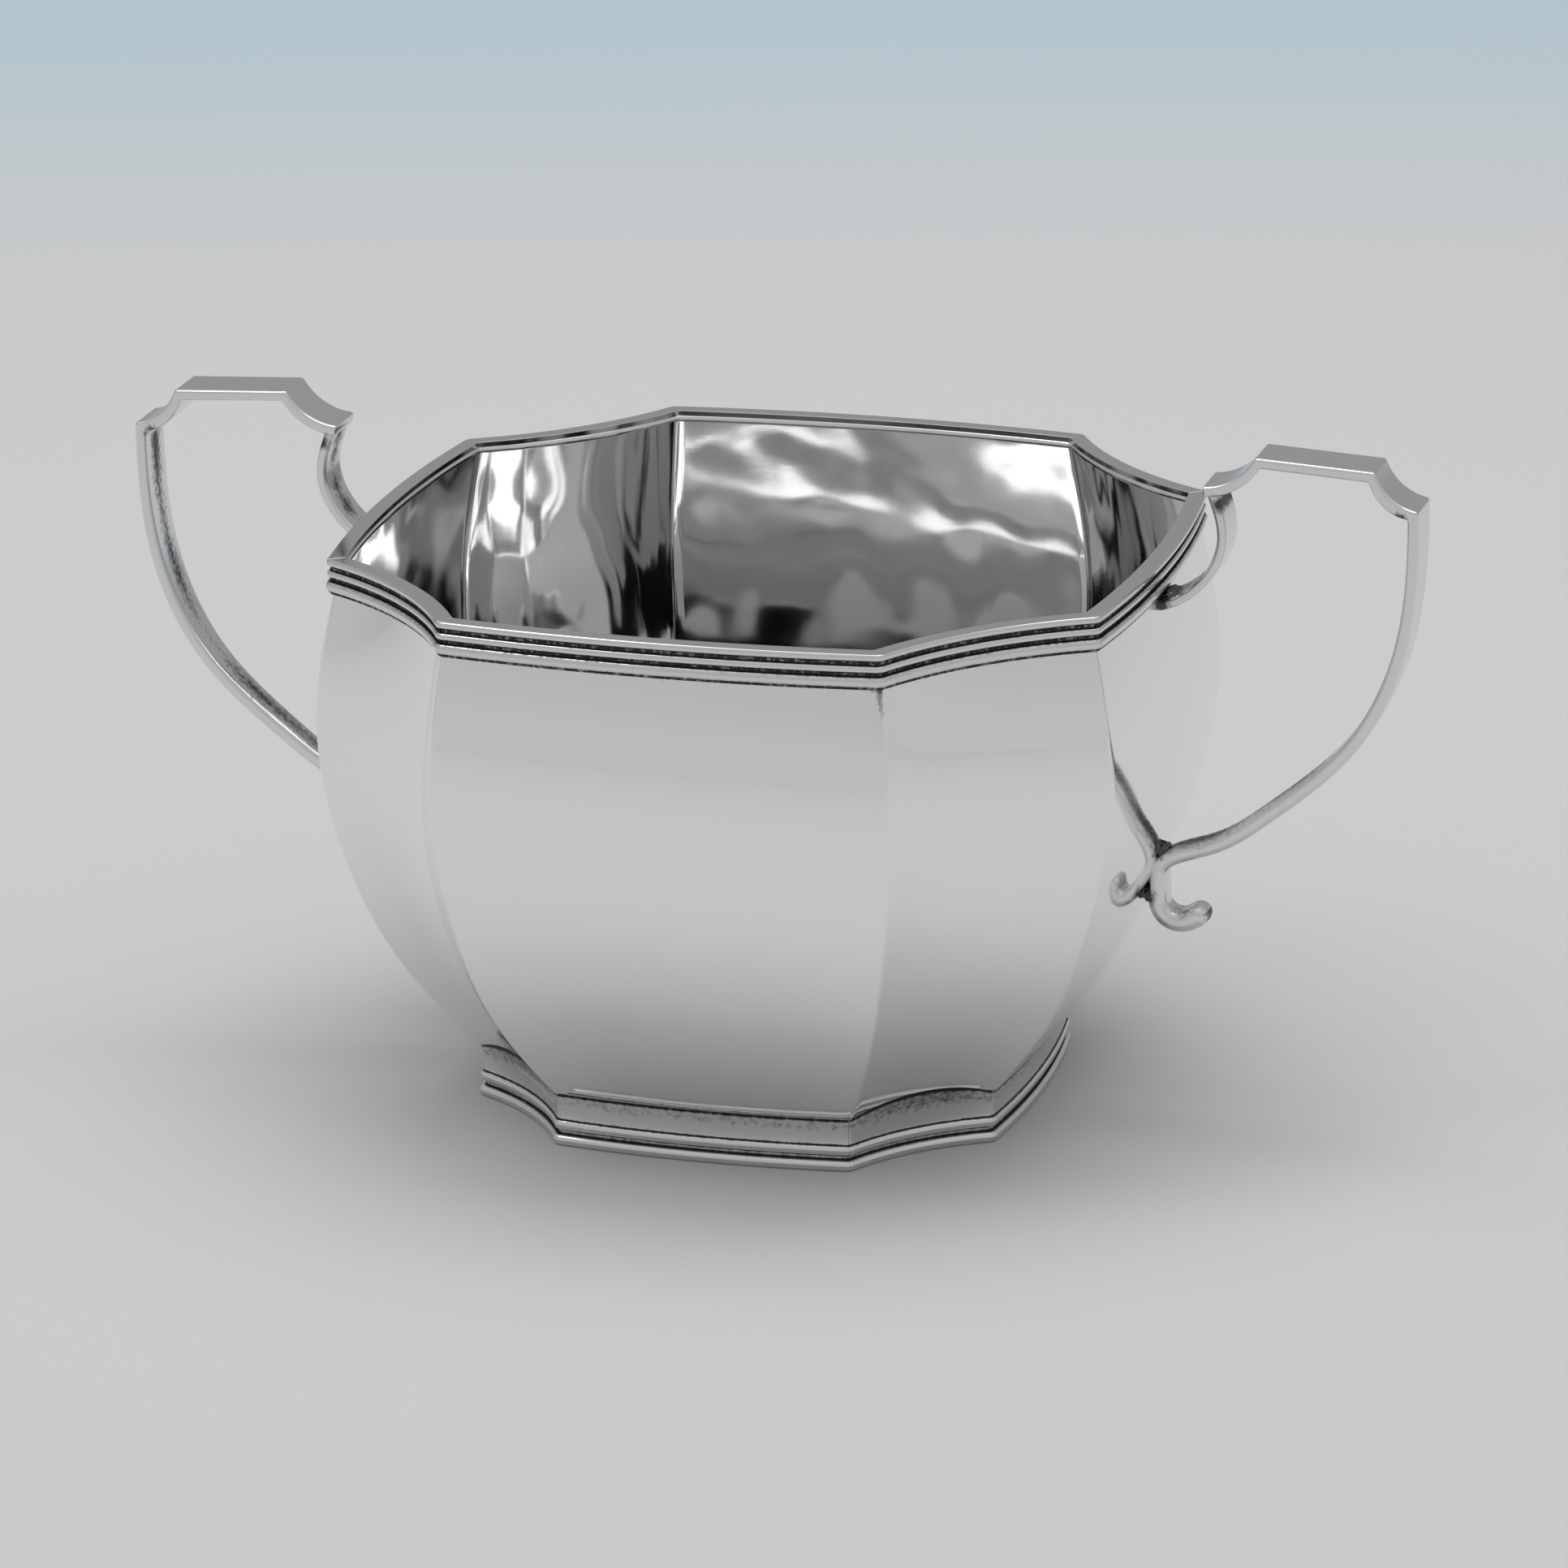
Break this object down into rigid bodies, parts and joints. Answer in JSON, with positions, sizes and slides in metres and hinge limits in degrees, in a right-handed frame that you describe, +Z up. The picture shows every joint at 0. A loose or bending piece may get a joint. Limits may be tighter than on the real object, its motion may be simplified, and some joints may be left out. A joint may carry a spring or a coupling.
{
  "type": "sugar bowl",
  "caption": "Open eight-sided silver sugar bowl with bowed and hollowed sides, a reeded rim, a moulded foot and a strap handle at each end.",
  "frame": {"origin": "centre of the foot on the table, on the bowl's axis", "axes": "+X along the two handles, +Y away from the front panel, +Z up along the bowl's axis"},
  "size_m": [0.1854, 0.1182, 0.0963],
  "materials": {
    "sterling_silver": "polished sterling silver"
  },
  "bodies": {
    "root": {"wall": "sterling_silver", "floor_plate": "sterling_silver", "rim_right": "sterling_silver", "rim_back": "sterling_silver", "rim_left": "sterling_silver", "rim_front": "sterling_silver", "rim_back_right": "sterling_silver", "rim_back_left": "sterling_silver", "rim_front_left": "sterling_silver", "rim_front_right": "sterling_silver", "foot_right": "sterling_silver", "foot_back": "sterling_silver", "foot_left": "sterling_silver", "foot_front": "sterling_silver", "foot_back_right": "sterling_silver", "foot_back_left": "sterling_silver", "foot_front_left": "sterling_silver", "foot_front_right": "sterling_silver", "handle_right_top": "sterling_silver", "handle_right_scroll": "sterling_silver", "handle_right_limb": "sterling_silver", "handle_left_top": "sterling_silver", "handle_left_scroll": "sterling_silver", "handle_left_limb": "sterling_silver"}
  },
  "joints": []
}
